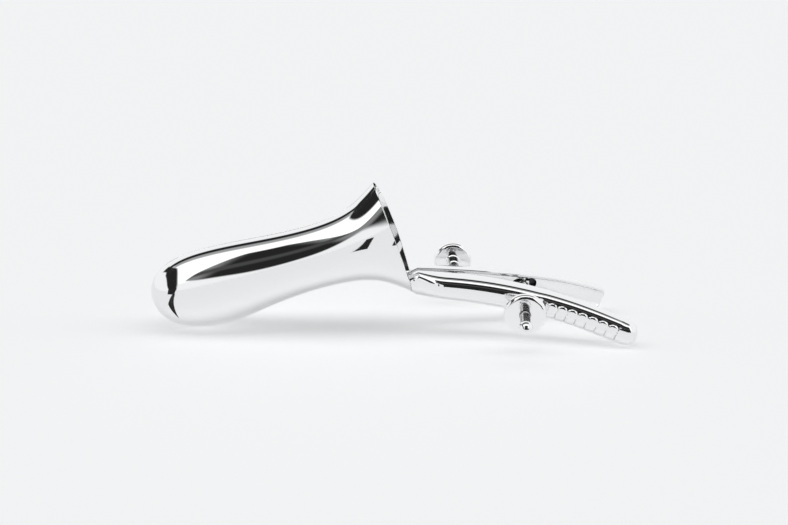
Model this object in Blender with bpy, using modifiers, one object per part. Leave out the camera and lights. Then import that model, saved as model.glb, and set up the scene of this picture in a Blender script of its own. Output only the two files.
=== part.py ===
"""Bivalve speculum lying on its side: two mirrored halves, each a half-tube blade, a flared mouth and a
channel-section handle, joined by two screws with disc nuts.

Design frame, in metres: X runs from the blade tips (-X) to the handle ends (+X), Y across the split between
the halves, Z up. X = 0 is near the middle of the mouth. The left half is on -Y, the right half on +Y. The
whole instrument hangs from one empty, which puts the origin under the middle of its bounding box.
"""

import math

import bmesh
import bpy
import numpy as np
from mathutils import Matrix, Vector

# Gaps
SPLIT_GAP = 0.0003  # between the mating edges of the two halves
PIN_GAP = 0.00015  # round a pin, radial
THREAD_GAP = 0.00015  # between a nut or a stop and its screw, radial
STEM_GAP = 0.0003  # round a screw where it passes a handle
EYE_GAP = 0.0005  # round a screw's eye in its pocket

# Blade and mouth, measured along and across the blade's own axis from the nose
BLADE_SLOPE = math.radians(14.5)  # the axis rises this much towards the mouth
NOSE_X = -0.1098
NOSE_Z = -0.0172
WALL = 0.0016
BULGE_AT = 0.0285
BULGE_UP = 0.0168
BULGE_DOWN = 0.0198
NECK_AT = 0.0755
NECK_UP = 0.0153
NECK_DOWN = 0.0143
MOUTH_TOP_AT = 0.1117
MOUTH_BOTTOM_AT = 0.1158
MOUTH_UP = 0.0276
MOUTH_DOWN = 0.0268
NOSE_POINTS = ((0.10, 0.47), (0.36, 0.80))  # shares of the bulge's place and height that round the nose
TOP_FLARE = (0.62, 0.32)  # shares of the way from neck to mouth, along and across
BOTTOM_WAIST = (0.45, 1.19)  # share of the way from bulge to neck, and height there in neck heights
BOTTOM_NECK_SHIFT = 0.2  # the lowest neck point lies this share of the way on to the mouth
BOTTOM_FLARE = (0.68, 0.28)
NOSE_ROUNDNESS = 0.78  # half width across the split, as a share of the half height, at the nose
NOSE_BLEND = 6  # how sharply the nose's roundness gives way to the blade's own depth
BLADE_DEPTH = 0.0130  # half width across the split
MOUTH_DEPTH = 0.0124
MOUTH_SIDE = 0.0017  # the rim's sides stand this far beyond a flat cut
MOUTH_SIDE_RISE = 4  # power with which they grow towards the rim

# Handle: a section with a flat top, a round outer side and a channel in its inner face
HANDLE_START_HEIGHT = 0.0114
HANDLE_HEIGHT = 0.0123
HANDLE_END_HEIGHT = 0.0114
HANDLE_HEIGHT_KNOTS = (0, 0.25, 0.6, 1)  # shares of the length: start, full height, full height, end
HANDLE_KNOTS = (0, 0.25, 0.5, 0.75, 1)
HANDLE_FALL = (0, 0.085, 0.26, 0.55, 1)  # share of the drop at each knot
HANDLE_SPREAD = (0, 0.07, 0.27, 0.62, 1)  # share of the widening at each knot
TOP_SQUARENESS = 3.4  # 2 is an ellipse, more is squarer
BOTTOM_SQUARENESS = 2.4
ROOT_SHARE = 0.84  # where the root leaves the blade's lower wall, as a share of its outline
ROOT_THICKNESS = 0.7  # share of the start thickness
ROOT_CHANNEL = 0.5
ROOT_RISE = 1.5  # power with which the root rises to the start
HANDLE_START_X = 0.0104
HANDLE_END_X = 0.1068
HANDLE_SHORTER = {-1: 0.0, 1: 0.0064}  # the right handle ends before the left one
HANDLE_START_TOP_Z = -0.0030
HANDLE_DROP = 0.0172  # of the top edge, from the start to the centre of the rounded end
HANDLE_START_THICKNESS = 0.0042
HANDLE_THICKNESS = 0.0086
HANDLE_END_THICKNESS = 0.0068
HANDLE_SWELL = 0.0130  # length over which the handle swells to its full thickness
HANDLE_START_GAP = 0.0015  # inner face to the split plane at the start
HANDLE_END_GAP = 0.0168  # inner face to the split plane at the rounded end
END_BLUNTNESS = {-1: 0.86, 1: 0.72}  # 1 is a half circle, less is squarer
END_TURN = math.radians(80)  # the rounding stops here in a small flat
END_INSET = 0.35  # the rounding closes this share of the thickness outside the inner face
CHANNEL_DEPTH = 0.0020
CHANNEL_RIM = 0.0013
CHANNEL_SHOULDER = 0.93  # the flat of the inner face ends at this share of the half height

# Grip ridges on the outer face
RIDGES = {-1: 7, 1: 6}
RIDGE_PITCH = 0.00425
RIDGE_END_GAP = 0.0029  # last groove to the centre of the rounded end
RIDGE_DEPTH = 0.0011
RIDGE_TOP = math.radians(48)  # the grooves run out at this turn above the middle of the outer side
RIDGE_BOTTOM = math.radians(-78)
RIDGE_FADE = math.radians(24)

# Screws, pins, nuts and stops
STEM_RADIUS = 0.0022
SCREW_LENGTH = 0.0508  # pin axis to the centre of the stop
EYE_RADIUS = 0.0029
EYE_WIDTH = 0.0040
PIN_RADIUS = 0.0012
PIN_SKIN = 0.0010  # metal left over the blind end of a pin's hole
POCKET_HALF_LENGTH = 0.0060
POCKET_HALF_HEIGHT = 0.0031
SLOT_ROUNDING = 0.98  # share of a slot's half height, so that its ends keep a narrow flat
PIN_INSET = 0.0034  # pin axis behind the handle's inner face
SPREAD_SCREW_X = 0.0284
SPREAD_SCREW_RISE = 0.0004  # screw axis above the handle's middle
HANDLE_SCREW_X = 0.0602
HANDLE_SCREW_RISE = 0.0007
HANDLE_SCREW_TILT = math.radians(7.0)  # its free end leans towards the blades
SLOT_TO_BLADES = 0.0036  # slot ends from the screw's axis where it crosses the left handle
SLOT_TO_GRIP = 0.0086
NUT_RADIUS = 0.0091
NUT_THICKNESS = 0.0040
NUT_ROUND = 0.0017
HUB_RADIUS = 0.0033
HUB_LENGTH = 0.0075
HUB_EDGE = 0.0004
PIN_EDGE = 0.0003
STEM_EDGE = 0.0003
SPREAD_NUT_AT = 0.0330  # pin axis to the disc's inner face
HANDLE_NUT_AT = 0.0345
STOP_RADIUS = 0.0030
STOP_SEAT = 0.0021  # centre of the stop to its flat seat
SPIGOT_RADIUS = 0.0013
SPIGOT_LENGTH = 0.0024

# Mesh fineness
RING_POINTS = 44
NOSE_SHARE = 0.16  # of the outline, with its own closer stations
NOSE_CROWDING = 1.5
NOSE_STATIONS = 12
BLADE_STATIONS = 24
HANDLE_STATIONS = 12
END_STATIONS = 7
ROOT_STATIONS = 4
TIP_STATIONS = 3
GROOVE_POINTS = 8
ARC_POINTS = 14
RIDGE_STATIONS = (0.0, 0.13, 0.5, 0.87)
NUT_ROUND_STEPS = 4
BALL_STEPS = 11
SLOT_STEPS = 6
TURN_STEPS = 32

STEEL = (0.80, 0.81, 0.82, 1.0)
LEFT = -1
RIGHT = 1
CLEAR = 0.02  # how far a cutter runs past what it cuts


def clear_scene():
    for obj in list(bpy.data.objects):
        bpy.data.objects.remove(obj, do_unlink=True)


def new_collection(name):
    collection = bpy.data.collections.new(name)
    bpy.context.scene.collection.children.link(collection)
    return collection


def steel(name, roughness):
    """A plated metal with the given roughness."""
    material = bpy.data.materials.new(name)
    material.use_nodes = True
    shader = material.node_tree.nodes["Principled BSDF"]
    shader.inputs["Base Color"].default_value = STEEL
    shader.inputs["Metallic"].default_value = 1.0
    shader.inputs["Roughness"].default_value = roughness
    return material


def spline(knots, values):
    """The natural cubic spline through values at knots, as a function of one number."""
    x = np.asarray(knots, float)
    y = np.asarray(values, float)
    step = np.diff(x)
    count = len(x)
    matrix = np.eye(count)
    right = np.zeros(y.shape)
    for i in range(1, count - 1):
        matrix[i, i - 1 : i + 2] = step[i - 1], 2 * (step[i - 1] + step[i]), step[i]
        right[i] = 6 * ((y[i + 1] - y[i]) / step[i] - (y[i] - y[i - 1]) / step[i - 1])
    bend = np.linalg.solve(matrix, right)

    def value(at):
        i = int(np.clip(np.searchsorted(x, at) - 1, 0, count - 2))
        a = (x[i + 1] - at) / step[i]
        b = (at - x[i]) / step[i]
        curve = ((a**3 - a) * bend[i] + (b**3 - b) * bend[i + 1]) * step[i] ** 2 / 6
        return a * y[i] + b * y[i + 1] + curve

    return value


# Blade and mouth


def blade_point(along, up):
    """Design-frame (x, z) of a point given along and across the blade's axis."""
    cos, sin = math.cos(BLADE_SLOPE), math.sin(BLADE_SLOPE)
    return NOSE_X + along * cos - up * sin, NOSE_Z + along * sin + up * cos


def nose_points(height):
    """Points that round the nose on one side, from the bulge's place and height there."""
    return [(along * BULGE_AT, up * height) for along, up in NOSE_POINTS]


def between(start, end, share):
    return start + share * (end - start)


def blade_outlines():
    """The top and bottom outlines as functions of 0 (nose) to 1 (mouth rim), along and across the axis."""
    top = nose_points(BULGE_UP)
    top.append((BULGE_AT, BULGE_UP))
    top.append(((BULGE_AT + NECK_AT) / 2, (BULGE_UP + NECK_UP) / 2))
    top.append((NECK_AT, NECK_UP))
    top.append((between(NECK_AT, MOUTH_TOP_AT, TOP_FLARE[0]), between(NECK_UP, MOUTH_UP, TOP_FLARE[1])))
    top.append((MOUTH_TOP_AT, MOUTH_UP))
    bottom = nose_points(-BULGE_DOWN)
    bottom.append((BULGE_AT, -BULGE_DOWN))
    bottom.append((between(BULGE_AT, NECK_AT, BOTTOM_WAIST[0]), -BOTTOM_WAIST[1] * NECK_DOWN))
    bottom.append((between(NECK_AT, MOUTH_BOTTOM_AT, BOTTOM_NECK_SHIFT), -NECK_DOWN))
    flare_at = between(NECK_AT, MOUTH_BOTTOM_AT, BOTTOM_FLARE[0])
    bottom.append((flare_at, -between(NECK_DOWN, MOUTH_DOWN, BOTTOM_FLARE[1])))
    bottom.append((MOUTH_BOTTOM_AT, -MOUTH_DOWN))
    whole = np.array(bottom[::-1] + [(0.0, 0.0)] + top)
    chord = np.concatenate([[0], np.cumsum(np.linalg.norm(np.diff(whole, axis=0), axis=1))])
    nose_at = chord[len(bottom)]
    curve = spline(chord, whole)
    return (
        lambda share: curve(nose_at + share * (chord[-1] - nose_at)),
        lambda share: curve(nose_at - share * nose_at),
    )


def half_depth(along, half_height):
    """Half width across the split: a share of the height over the nose, then the blade's own depth."""
    knots = (0.0, BULGE_AT, NECK_AT, MOUTH_TOP_AT)
    body = spline(knots, (BLADE_DEPTH, BLADE_DEPTH, BLADE_DEPTH, MOUTH_DEPTH))(along)
    nose = NOSE_ROUNDNESS * half_height
    return (nose**-NOSE_BLEND + body**-NOSE_BLEND) ** (-1 / NOSE_BLEND)


def blade_rings():
    """Closed rings round the blade from the nose to the mouth, each top, +Y, bottom, -Y."""
    top, bottom = blade_outlines()
    nose = NOSE_SHARE * (np.arange(1, NOSE_STATIONS + 1) / NOSE_STATIONS) ** NOSE_CROWDING
    body = np.linspace(NOSE_SHARE, 1.0, BLADE_STATIONS + 1)[1:]
    rings = []
    for share in np.concatenate([nose, body]):
        upper, lower = top(share), bottom(share)
        middle = (upper + lower) / 2
        reach = (upper - lower) / 2
        depth = half_depth(middle[0], np.linalg.norm(reach))
        forward = MOUTH_SIDE * share**MOUTH_SIDE_RISE
        ring = []
        for turn in np.arange(RING_POINTS) * 2 * math.pi / RING_POINTS:
            along, up = middle + reach * math.cos(turn)
            x, z = blade_point(along + forward * math.sin(turn) ** 2, up)
            ring.append((x, depth * math.sin(turn), z))
        rings.append(ring)
    return rings


# Handle


def handle_share(x):
    """0 at the handle's start, 1 at the centre of the left handle's rounded end."""
    return (x - HANDLE_START_X) / (HANDLE_END_X - HANDLE_END_HEIGHT / 2 - HANDLE_START_X)


def handle_height(x):
    heights = (HANDLE_START_HEIGHT, HANDLE_HEIGHT, HANDLE_HEIGHT, HANDLE_END_HEIGHT)
    return spline(HANDLE_HEIGHT_KNOTS, heights)(min(1.0, handle_share(x)))


def handle_z(x):
    """Height of the handle's middle line."""
    fall = spline(HANDLE_KNOTS, HANDLE_FALL)(handle_share(x))
    return HANDLE_START_TOP_Z - HANDLE_DROP * fall - handle_height(x) / 2


def handle_gap(x):
    """Distance from the split plane to the handle's inner face."""
    spread = spline(HANDLE_KNOTS, HANDLE_SPREAD)(handle_share(x))
    return between(HANDLE_START_GAP, HANDLE_END_GAP, spread)


def handle_thickness(x):
    swollen = HANDLE_START_X + HANDLE_SWELL
    if x > swollen:
        share = (x - swollen) / (HANDLE_END_X - swollen)
        return between(HANDLE_THICKNESS, HANDLE_END_THICKNESS, share**2)
    swell = math.sin(max(0.0, x - HANDLE_START_X) / HANDLE_SWELL * math.pi / 2)
    return between(HANDLE_START_THICKNESS, HANDLE_THICKNESS, swell)


def squareness(turn):
    return TOP_SQUARENESS if turn > 0 else BOTTOM_SQUARENESS


def groove_share(turn):
    """1 over the middle of the outer side, 0 beyond the ends of the grooves."""
    fade = min(RIDGE_TOP - turn, turn - RIDGE_BOTTOM) / RIDGE_FADE
    return min(1.0, max(0.0, fade))


def handle_section(height, thickness, channel, groove=0.0):
    """An outline as (outward, up) points: down the channelled inner face, then up the outer side."""
    half = height / 2
    width = half * (1 - 2 * CHANNEL_RIM / HANDLE_HEIGHT)
    points = [(0.0, CHANNEL_SHOULDER * half)]
    for turn in np.linspace(0, math.pi, GROOVE_POINTS + 1):
        points.append((channel * math.sin(turn), width * math.cos(turn)))
    points.append((0.0, -CHANNEL_SHOULDER * half))
    for turn in np.linspace(-math.pi / 2, math.pi / 2, ARC_POINTS + 2)[1:-1]:
        power = 2 / squareness(turn)
        outward = thickness * math.cos(turn) ** power
        up = half * math.copysign(abs(math.sin(turn)) ** power, turn)
        points.append((outward - groove * groove_share(turn), up))
    return points


def placed(section, origin, forward, side):
    """The ring of a section whose plane faces forward; outward is away from the split plane."""
    forward = Vector(forward).normalized()
    up = Vector((-forward.z, 0, forward.x)).normalized()
    outward = forward.cross(up) * -side
    return [Vector(origin) + outward * a + up * b for a, b in section]


def end_centre(side):
    """Where along X the rounded end of one handle has its centre."""
    return HANDLE_END_X - HANDLE_SHORTER[side] - HANDLE_END_HEIGHT / 2


def ridge_start(side):
    return end_centre(side) - RIDGE_END_GAP - RIDGES[side] * RIDGE_PITCH


def ridge_stations(side):
    """(x, depth) along the grip: each ridge is an arc between two narrow grooves."""
    start = ridge_start(side)
    stations = []
    for ridge in range(RIDGES[side]):
        for share in RIDGE_STATIONS:
            depth = RIDGE_DEPTH * (1 - math.sqrt(1 - (2 * share - 1) ** 2))
            stations.append((start + RIDGE_PITCH * (ridge + share), depth))
    stations.append((start + RIDGE_PITCH * RIDGES[side], RIDGE_DEPTH))
    return stations


def root_rings():
    """Sections that rise out of the flare's lower wall to the handle's full height."""
    bottom = blade_outlines()[1]
    start_x = blade_point(*bottom(ROOT_SHARE))[0]
    rings = []
    for share in np.linspace(ROOT_SHARE, 1.0, ROOT_STATIONS + 1)[:-1]:
        x, wall_z = blade_point(*bottom(share))
        low = wall_z + WALL / 2
        rise = (x - start_x) / (HANDLE_START_X - start_x)
        high = between(low + WALL, HANDLE_START_TOP_Z, rise**ROOT_RISE)
        thickness = HANDLE_START_THICKNESS * between(ROOT_THICKNESS, 1.0, rise)
        section = handle_section(high - low, thickness, CHANNEL_DEPTH * ROOT_CHANNEL * rise)
        rings.append((section, Vector((x, HANDLE_START_GAP, (high + low) / 2)), Vector((1, 0, 0))))
    return rings


def handle_rings(side):
    """Rings from the root in the flare to the blunt end, each top, inner face, bottom, outer side."""
    centre_x = end_centre(side)
    plain = [(x, 0.0) for x in np.linspace(HANDLE_START_X, ridge_start(side), HANDLE_STATIONS + 1)[:-1]]
    ridged = ridge_stations(side)
    after = [(x, 0.0) for x in np.linspace(ridged[-1][0], centre_x, TIP_STATIONS + 1)[1:]]
    rings = root_rings()
    small = 1e-4
    for x, groove in plain + ridged + after:
        point = Vector((x, handle_gap(x), handle_z(x)))
        heading = Vector((small, handle_gap(x + small) - point.y, handle_z(x + small) - point.z))
        section = handle_section(handle_height(x), handle_thickness(x), CHANNEL_DEPTH, groove)
        rings.append((section, point, heading.normalized()))
    height, thickness = handle_height(centre_x), handle_thickness(centre_x)
    end, heading = rings[-1][1:]
    for turn in np.linspace(0, END_TURN, END_STATIONS + 1)[1:]:
        shrink = math.cos(turn) ** END_BLUNTNESS[side]
        section = handle_section(height * shrink, thickness * shrink, CHANNEL_DEPTH * shrink**3)
        section = [(a + END_INSET * thickness * (1 - shrink), b) for a, b in section]
        onward = heading * (HANDLE_END_HEIGHT / 2 * math.sin(turn) ** END_BLUNTNESS[side])
        rings.append((section, end + onward, heading))
    mirror = Vector((1, side, 1))
    return [placed(section, point * mirror, heading * mirror, side) for section, point, heading in rings]


# Mesh helpers


def mesh_object(name, mesh, collection, material=None):
    obj = bpy.data.objects.new(name, mesh)
    collection.objects.link(obj)
    if material:
        mesh.materials.append(material)
    return obj


def smooth(mesh, degrees=40):
    mesh.shade_smooth()
    mesh.set_sharp_from_angle(angle=math.radians(degrees))


def loft(name, rings, nose=None, close_end=True, mirrored=False):
    """A mesh through closed rings that run top, +Y, bottom, -Y and follow each other along +X."""
    bm = bmesh.new()
    rows = [[bm.verts.new(point) for point in ring] for ring in rings]
    size = len(rings[0])
    for first, second in zip(rows, rows[1:]):
        for j in range(size):
            k = (j + 1) % size
            bm.faces.new((first[j], second[j], second[k], first[k]))
    if nose is None:
        bm.faces.new(rows[0])
    else:
        tip = bm.verts.new(nose)
        for j in range(size):
            bm.faces.new((tip, rows[0][j], rows[0][(j + 1) % size]))
    if close_end:
        bm.faces.new(rows[-1][::-1])
    if mirrored:
        bmesh.ops.reverse_faces(bm, faces=bm.faces)
    mesh = bpy.data.meshes.new(name)
    bm.to_mesh(mesh)
    bm.free()
    smooth(mesh)
    return mesh


def turned(name, profile, closed, collection, material):
    """A solid turned about its local Z from (radius, height) points that run down its outer side."""
    bm = bmesh.new()
    points = [bm.verts.new((radius, 0, height)) for radius, height in profile]
    for first, second in zip(points, points[1:]):
        bm.edges.new((first, second))
    if closed:
        bm.edges.new((points[-1], points[0]))
    mesh = bpy.data.meshes.new(name)
    bm.to_mesh(mesh)
    bm.free()
    obj = mesh_object(name, mesh, collection, material)
    spin = obj.modifiers.new("turn", "SCREW")
    spin.steps = TURN_STEPS
    spin.render_steps = TURN_STEPS
    spin.use_merge_vertices = True
    spin.merge_threshold = 0.00001
    spin.use_smooth_shade = True
    return obj


def cutter(obj):
    obj.hide_render = True
    obj.display_type = "WIRE"
    return obj


def cylinder_cutter(name, radius, length, matrix, collection):
    """A cylinder along the matrix's Z, starting at its origin."""
    bm = bmesh.new()
    middle = Matrix.Translation((0, 0, length / 2))
    bmesh.ops.create_cone(
        bm, cap_ends=True, segments=TURN_STEPS, radius1=radius, radius2=radius, depth=length, matrix=middle
    )
    mesh = bpy.data.meshes.new(name)
    bm.to_mesh(mesh)
    bm.free()
    obj = cutter(mesh_object(name, mesh, collection))
    obj.matrix_world = matrix
    return obj


def block_cutter(name, low, high, collection, radius=0.0, edges_along=None):
    """A box between two corners; the edges along one axis can be rounded."""
    bm = bmesh.new()
    size = Vector(high) - Vector(low)
    centre = (Vector(high) + Vector(low)) / 2
    bmesh.ops.create_cube(bm, size=1, matrix=Matrix.Translation(centre) @ Matrix.Diagonal((*size, 1)))
    if edges_along is not None:
        others = [axis for axis in range(3) if axis != edges_along]
        rounded = [
            edge
            for edge in bm.edges
            if all(abs(edge.verts[0].co[axis] - edge.verts[1].co[axis]) < 1e-7 for axis in others)
        ]
        bmesh.ops.bevel(
            bm, geom=rounded, offset=radius, segments=SLOT_STEPS, profile=0.5, affect="EDGES"
        )
    mesh = bpy.data.meshes.new(name)
    bm.to_mesh(mesh)
    bm.free()
    return cutter(mesh_object(name, mesh, collection))


def combine(obj, other, operation, name):
    """A Boolean of obj with a helper object, which then rides with it."""
    other.parent = obj
    step = obj.modifiers.new(name, "BOOLEAN")
    step.operation = operation
    step.object = other
    step.solver = "EXACT"


def screw_frame(origin, direction):
    """Local Z along the screw, local X up, along its pin."""
    along = Vector(direction).normalized()
    up = Vector((0, 0, 1))
    across = along.cross(up)
    rotation = Matrix((up, across, along)).transposed().to_4x4()
    return Matrix.Translation(origin) @ rotation


# Where the screws sit


def pin_point(x, rise, side):
    """A screw's pin axis in the handle of one half."""
    return Vector((x, side * (handle_gap(x) + PIN_INSET), handle_z(x) + rise))


def spread_pin():
    return pin_point(SPREAD_SCREW_X, SPREAD_SCREW_RISE, LEFT)


def handle_pin():
    return pin_point(HANDLE_SCREW_X, HANDLE_SCREW_RISE, RIGHT)


def spread_direction():
    return Vector((0, 1, 0))


def handle_direction():
    return Vector((-math.sin(HANDLE_SCREW_TILT), -math.cos(HANDLE_SCREW_TILT), 0))


def pin_cover(x, power):
    """Height of the handle's skin over a pin, from its middle line, where the section has this squareness."""
    return handle_height(x) / 2 * (1 - (PIN_INSET / handle_thickness(x)) ** power) ** (1 / power)


def pin_top(x):
    """Top of a pin's blind hole."""
    return handle_z(x) + pin_cover(x, TOP_SQUARENESS) - PIN_SKIN


# The pieces


def make_half(name, side, parts, cutters, material):
    """One half: its blade and flare split from the whole trumpet, with its handle joined on."""
    trumpet = loft(name, blade_rings(), nose=(NOSE_X, 0, NOSE_Z), close_end=False)
    shell = mesh_object(name, trumpet, parts, material)
    wall = shell.modifiers.new("wall", "SOLIDIFY")
    wall.thickness = WALL
    wall.offset = -1
    wall.use_even_offset = True
    edge = side * SPLIT_GAP / 2
    other = -side * CLEAR * 2
    low = (NOSE_X - CLEAR, min(edge, other), NOSE_Z - CLEAR * 3)
    high = (MOUTH_BOTTOM_AT, max(edge, other), NOSE_Z + CLEAR * 5)
    combine(shell, block_cutter(name + "_split", low, high, cutters), "DIFFERENCE", "split")
    bar = loft(name + "_handle", handle_rings(side), mirrored=side == RIGHT)
    combine(shell, cutter(mesh_object(name + "_handle", bar, cutters)), "UNION", "handle")
    return shell


def cut_pocket(half, pin, x, side, cutters):
    """A round-ended pocket for a screw's eye and a blind hole for its pin, drilled from below."""
    deep = side * (abs(pin.y) + EYE_RADIUS + EYE_GAP)
    low = (pin.x - POCKET_HALF_LENGTH, min(0, deep), pin.z - POCKET_HALF_HEIGHT)
    high = (pin.x + POCKET_HALF_LENGTH, max(0, deep), pin.z + POCKET_HALF_HEIGHT)
    rounding = POCKET_HALF_HEIGHT * SLOT_ROUNDING
    pocket = block_cutter(half.name + "_pocket", low, high, cutters, rounding, edges_along=1)
    combine(half, pocket, "DIFFERENCE", "pocket")
    start = Matrix.Translation((pin.x, pin.y, pin_top(x) - CLEAR))
    hole = cylinder_cutter(half.name + "_pin_hole", PIN_RADIUS + PIN_GAP, CLEAR, start, cutters)
    combine(half, hole, "DIFFERENCE", "pin hole")


def make_pin(name, pin, x, parts, material):
    """A short dowel through the screw's eye, a little below the skin at both ends."""
    top = pin_top(x) - PIN_GAP
    bottom = handle_z(x) - pin_cover(x, BOTTOM_SQUARENESS) + PIN_GAP * 2
    profile = [
        (0, top),
        (PIN_RADIUS - PIN_EDGE, top),
        (PIN_RADIUS, top - PIN_EDGE),
        (PIN_RADIUS, bottom + PIN_EDGE),
        (PIN_RADIUS - PIN_EDGE, bottom),
        (0, bottom),
    ]
    profile = [(radius, height - pin.z) for radius, height in profile]
    return turned(name, profile, False, parts, material)


def make_screw(name, parts, cutters, material):
    """A stem with an eye for its pin at the origin and a spigot for the stop at its far end."""
    shoulder = SCREW_LENGTH - STOP_SEAT - PIN_GAP
    profile = [
        (0, shoulder + SPIGOT_LENGTH),
        (SPIGOT_RADIUS, shoulder + SPIGOT_LENGTH),
        (SPIGOT_RADIUS, shoulder),
        (STEM_RADIUS - STEM_EDGE, shoulder),
        (STEM_RADIUS, shoulder - STEM_EDGE),
        (STEM_RADIUS, 0),
        (0, 0),
    ]
    screw = turned(name, profile, False, parts, material)
    across = Matrix.Translation((-EYE_WIDTH / 2, 0, 0)) @ Matrix.Rotation(math.pi / 2, 4, "Y")
    combine(screw, cylinder_cutter(name + "_eye", EYE_RADIUS, EYE_WIDTH, across, cutters), "UNION", "eye")
    through = Matrix.Translation((-EYE_WIDTH, 0, 0)) @ Matrix.Rotation(math.pi / 2, 4, "Y")
    hole = cylinder_cutter(name + "_eye_hole", PIN_RADIUS + PIN_GAP, 2 * EYE_WIDTH, through, cutters)
    combine(screw, hole, "DIFFERENCE", "eye hole")
    return screw


def make_nut(name, parts, material):
    """A round-edged disc with a hub towards the handle; the origin is the centre of its inner face."""
    bore = STEM_RADIUS + THREAD_GAP
    edge = []
    for turn in np.linspace(0, math.pi / 2, NUT_ROUND_STEPS + 1):
        edge.append((NUT_RADIUS - NUT_ROUND * (1 - math.sin(turn)), NUT_ROUND * (1 - math.cos(turn))))
    profile = [(bore, NUT_THICKNESS)]
    profile += [(radius, NUT_THICKNESS - depth) for radius, depth in edge]
    profile += edge[::-1]
    profile += [
        (HUB_RADIUS, 0),
        (HUB_RADIUS, HUB_EDGE - HUB_LENGTH),
        (HUB_RADIUS - HUB_EDGE, -HUB_LENGTH),
        (bore, -HUB_LENGTH),
    ]
    return turned(name, profile, True, parts, material)


def make_stop(name, parts, material):
    """A ball with a flat seat and a blind bore for the screw's spigot; the origin is its centre."""
    bore = SPIGOT_RADIUS + THREAD_GAP
    seat_turn = math.acos(-STOP_SEAT / STOP_RADIUS)
    ball = [(0, STOP_RADIUS)]
    for turn in np.linspace(0, seat_turn, BALL_STEPS + 1)[1:]:
        ball.append((STOP_RADIUS * math.sin(turn), STOP_RADIUS * math.cos(turn)))
    deep = SPIGOT_LENGTH + PIN_GAP - STOP_SEAT
    ball += [(bore, -STOP_SEAT), (bore, deep + PIN_GAP), (0, deep + PIN_GAP)]
    return turned(name, ball, False, parts, material)


def place(obj, parent, matrix):
    """Puts obj at a design-frame matrix under its parent empty."""
    obj.parent = parent
    obj.matrix_local = parent.matrix_world.inverted() @ matrix


def new_empty(name, location, parent, collection):
    empty = bpy.data.objects.new(name, None)
    empty.empty_display_size = 0.01
    collection.objects.link(empty)
    empty.location = Vector(location) - (parent.matrix_world.translation if parent else Vector())
    empty.parent = parent
    bpy.context.view_layer.update()
    return empty


def bounds_of(collection):
    """Lowest and highest corners of the finished pieces."""
    bpy.context.view_layer.update()
    graph = bpy.context.evaluated_depsgraph_get()
    corners = []
    for obj in collection.objects:
        if obj.type == "MESH":
            evaluated = obj.evaluated_get(graph)
            corners += [evaluated.matrix_world @ Vector(corner) for corner in evaluated.bound_box]
    return [min(c[i] for c in corners) for i in range(3)], [max(c[i] for c in corners) for i in range(3)]


def build():
    clear_scene()
    parts = new_collection("bivalve_speculum")
    cutters = new_collection("cutters")
    bright = steel("bright_plate", 0.06)
    satin = steel("turned_satin", 0.25)

    instrument = new_empty("instrument", (0, 0, 0), None, parts)
    spread_pivot = new_empty("spread_pivot", spread_pin(), instrument, parts)
    handle_pivot = new_empty("handle_pivot", handle_pin(), spread_pivot, parts)

    left = make_half("left_half", LEFT, parts, cutters, bright)
    cut_pocket(left, spread_pin(), SPREAD_SCREW_X, LEFT, cutters)
    crossing = handle_pin().x - math.tan(HANDLE_SCREW_TILT) * (
        handle_pin().y + handle_gap(HANDLE_SCREW_X) + handle_thickness(HANDLE_SCREW_X) / 2
    )
    slot_half = STEM_RADIUS + STEM_GAP
    slot = block_cutter(
        "left_half_slot",
        (crossing - SLOT_TO_BLADES, -CLEAR * 1.5, handle_pin().z - slot_half),
        (crossing + SLOT_TO_GRIP, 0, handle_pin().z + slot_half),
        cutters,
        slot_half * SLOT_ROUNDING,
        edges_along=1,
    )
    combine(left, slot, "DIFFERENCE", "slot")
    place(left, instrument, Matrix())

    right = make_half("right_half", RIGHT, parts, cutters, bright)
    cut_pocket(right, handle_pin(), HANDLE_SCREW_X, RIGHT, cutters)
    start = screw_frame(spread_pin(), spread_direction())
    hole = cylinder_cutter("right_half_hole", STEM_RADIUS + STEM_GAP, SCREW_LENGTH, start, cutters)
    combine(right, hole, "DIFFERENCE", "screw hole")
    place(right, spread_pivot, Matrix())

    along_spread, along_handle = spread_direction(), handle_direction()
    screws = (
        ("spread", spread_pin(), SPREAD_SCREW_X, along_spread, SPREAD_NUT_AT, instrument, spread_pivot),
        ("handle", handle_pin(), HANDLE_SCREW_X, along_handle, HANDLE_NUT_AT, spread_pivot, handle_pivot),
    )
    for prefix, pin, x, direction, nut_at, pin_parent, screw_parent in screws:
        frame = screw_frame(pin, direction)
        place(make_pin(prefix + "_screw_pin", pin, x, parts, satin), pin_parent, Matrix.Translation(pin))
        place(make_screw(prefix + "_screw", parts, cutters, bright), screw_parent, frame)
        nut = make_nut(prefix + "_nut", parts, satin)
        place(nut, screw_parent, frame @ Matrix.Translation((0, 0, nut_at)))
        stop = make_stop(prefix + "_screw_stop", parts, bright)
        place(stop, screw_parent, frame @ Matrix.Translation((0, 0, SCREW_LENGTH)))

    low, high = bounds_of(parts)
    instrument.location = (-(low[0] + high[0]) / 2, -(low[1] + high[1]) / 2, -low[2])


build()
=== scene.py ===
"""Bivalve speculum on a pale studio floor, seen from the photograph's side.

Lengths are in metres. The shapes are worked out in the model's design frame: X runs from the blade tips to
the handle ends, Y across the split between the halves, Z up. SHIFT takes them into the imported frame.
"""

import math

import bmesh
import bpy
import numpy as np
from mathutils import Matrix, Vector


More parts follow.
